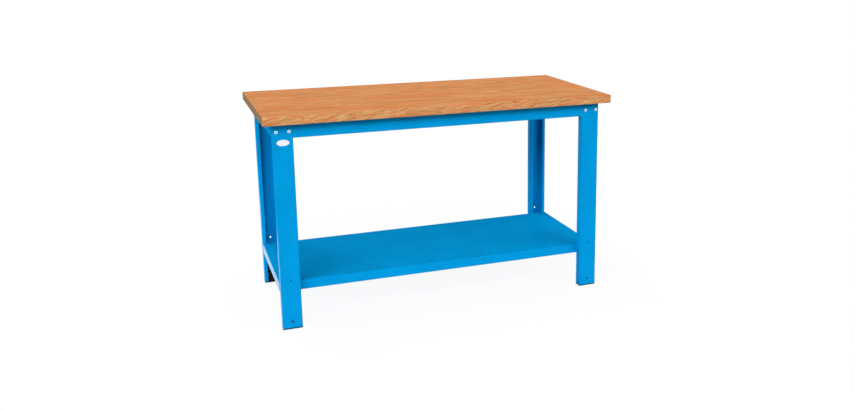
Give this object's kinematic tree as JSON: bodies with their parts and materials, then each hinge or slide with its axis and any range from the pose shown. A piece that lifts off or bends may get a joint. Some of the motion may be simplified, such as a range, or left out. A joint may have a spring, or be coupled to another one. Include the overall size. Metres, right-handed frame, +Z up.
{
  "type": "assembly table",
  "caption": "Workshop assembly table: wooden worktop on a bolted frame of folded blue steel with a lower shelf tray and plastic feet.",
  "frame": {"origin": "on the floor, under the centre of the worktop", "axes": "+X along the table to the right as seen from the front, +Y from the front to the back, +Z up"},
  "size_m": [1.5, 0.7, 0.89],
  "materials": {
    "worktop_wood": "oiled beech, satin",
    "blue_paint": "light blue powder coat, semi-gloss",
    "foot_plastic": "black, matt",
    "zinc_plate": "bright zinc plating",
    "blank_plate": "white, glossy, blank"
  },
  "bodies": {
    "root": {"badge_plate": "blank_plate", "front_left_foot": "foot_plastic", "front_left_leg": "blue_paint", "front_rail": "blue_paint", "front_rail_bolts": "zinc_plate", "front_rail_nuts": "zinc_plate", "front_rail_washers": "zinc_plate", "front_right_foot": "foot_plastic", "front_right_leg": "blue_paint", "left_side_rail": "blue_paint", "lower_shelf": "blue_paint", "rear_left_foot": "foot_plastic", "rear_left_leg": "blue_paint", "rear_rail": "blue_paint", "rear_rail_bolts": "zinc_plate", "rear_rail_nuts": "zinc_plate", "rear_rail_washers": "zinc_plate", "rear_right_foot": "foot_plastic", "rear_right_leg": "blue_paint", "right_side_rail": "blue_paint", "shelf_bolts": "zinc_plate", "shelf_nuts": "zinc_plate", "shelf_stiffener": "blue_paint", "worktop": "worktop_wood", "worktop_screws": "zinc_plate"}
  },
  "joints": []
}
